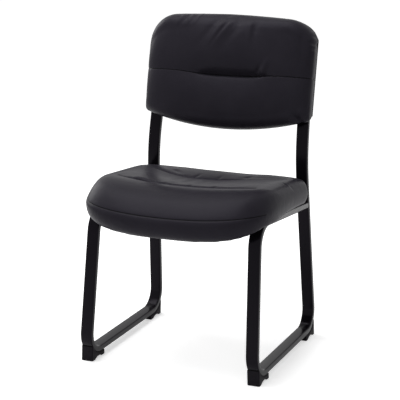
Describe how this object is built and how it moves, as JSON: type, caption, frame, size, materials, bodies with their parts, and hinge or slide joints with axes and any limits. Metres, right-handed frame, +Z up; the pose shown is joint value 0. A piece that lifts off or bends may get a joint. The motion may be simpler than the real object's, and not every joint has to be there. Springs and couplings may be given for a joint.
{
  "type": "waiting room chair",
  "caption": "Armless waiting room chair with a padded seat and a padded back on two black sled side frames of bent flat tube.",
  "frame": {"origin": "on the floor, in the middle of the chair's bounding box", "axes": "+X to the right of someone who faces the chair, -Y to the front of the chair, +Z up"},
  "size_m": [0.4944, 0.5317, 0.8587],
  "materials": {
    "frame_paint": "semi-gloss black powder coat",
    "black_plastic": "matte black moulded plastic",
    "black_cover": "satin black faux leather",
    "foam": "open-cell foam, not seen",
    "plywood": "raw plywood, not seen",
    "panel_board": "hardboard, not seen",
    "dust_cloth": "thin black non-woven cloth",
    "zinc_steel": "zinc-plated"
  },
  "bodies": {
    "root": {"left_side_frame": "frame_paint", "right_side_frame": "frame_paint", "front_cross_tube": "frame_paint", "rear_cross_tube": "frame_paint", "left_upright_plug": "black_plastic", "right_upright_plug": "black_plastic", "front_left_glide": "black_plastic", "front_right_glide": "black_plastic", "rear_left_glide": "black_plastic", "rear_right_glide": "black_plastic", "seat_board": "plywood", "seat_foam": "foam", "seat_cover": "black_cover", "seat_dust_cover": "dust_cloth", "seat_screws": "zinc_steel", "back_board": "plywood", "back_foam": "foam", "back_cover": "black_cover", "back_rear_panel": "panel_board", "back_rear_cover": "black_cover"}
  },
  "joints": []
}
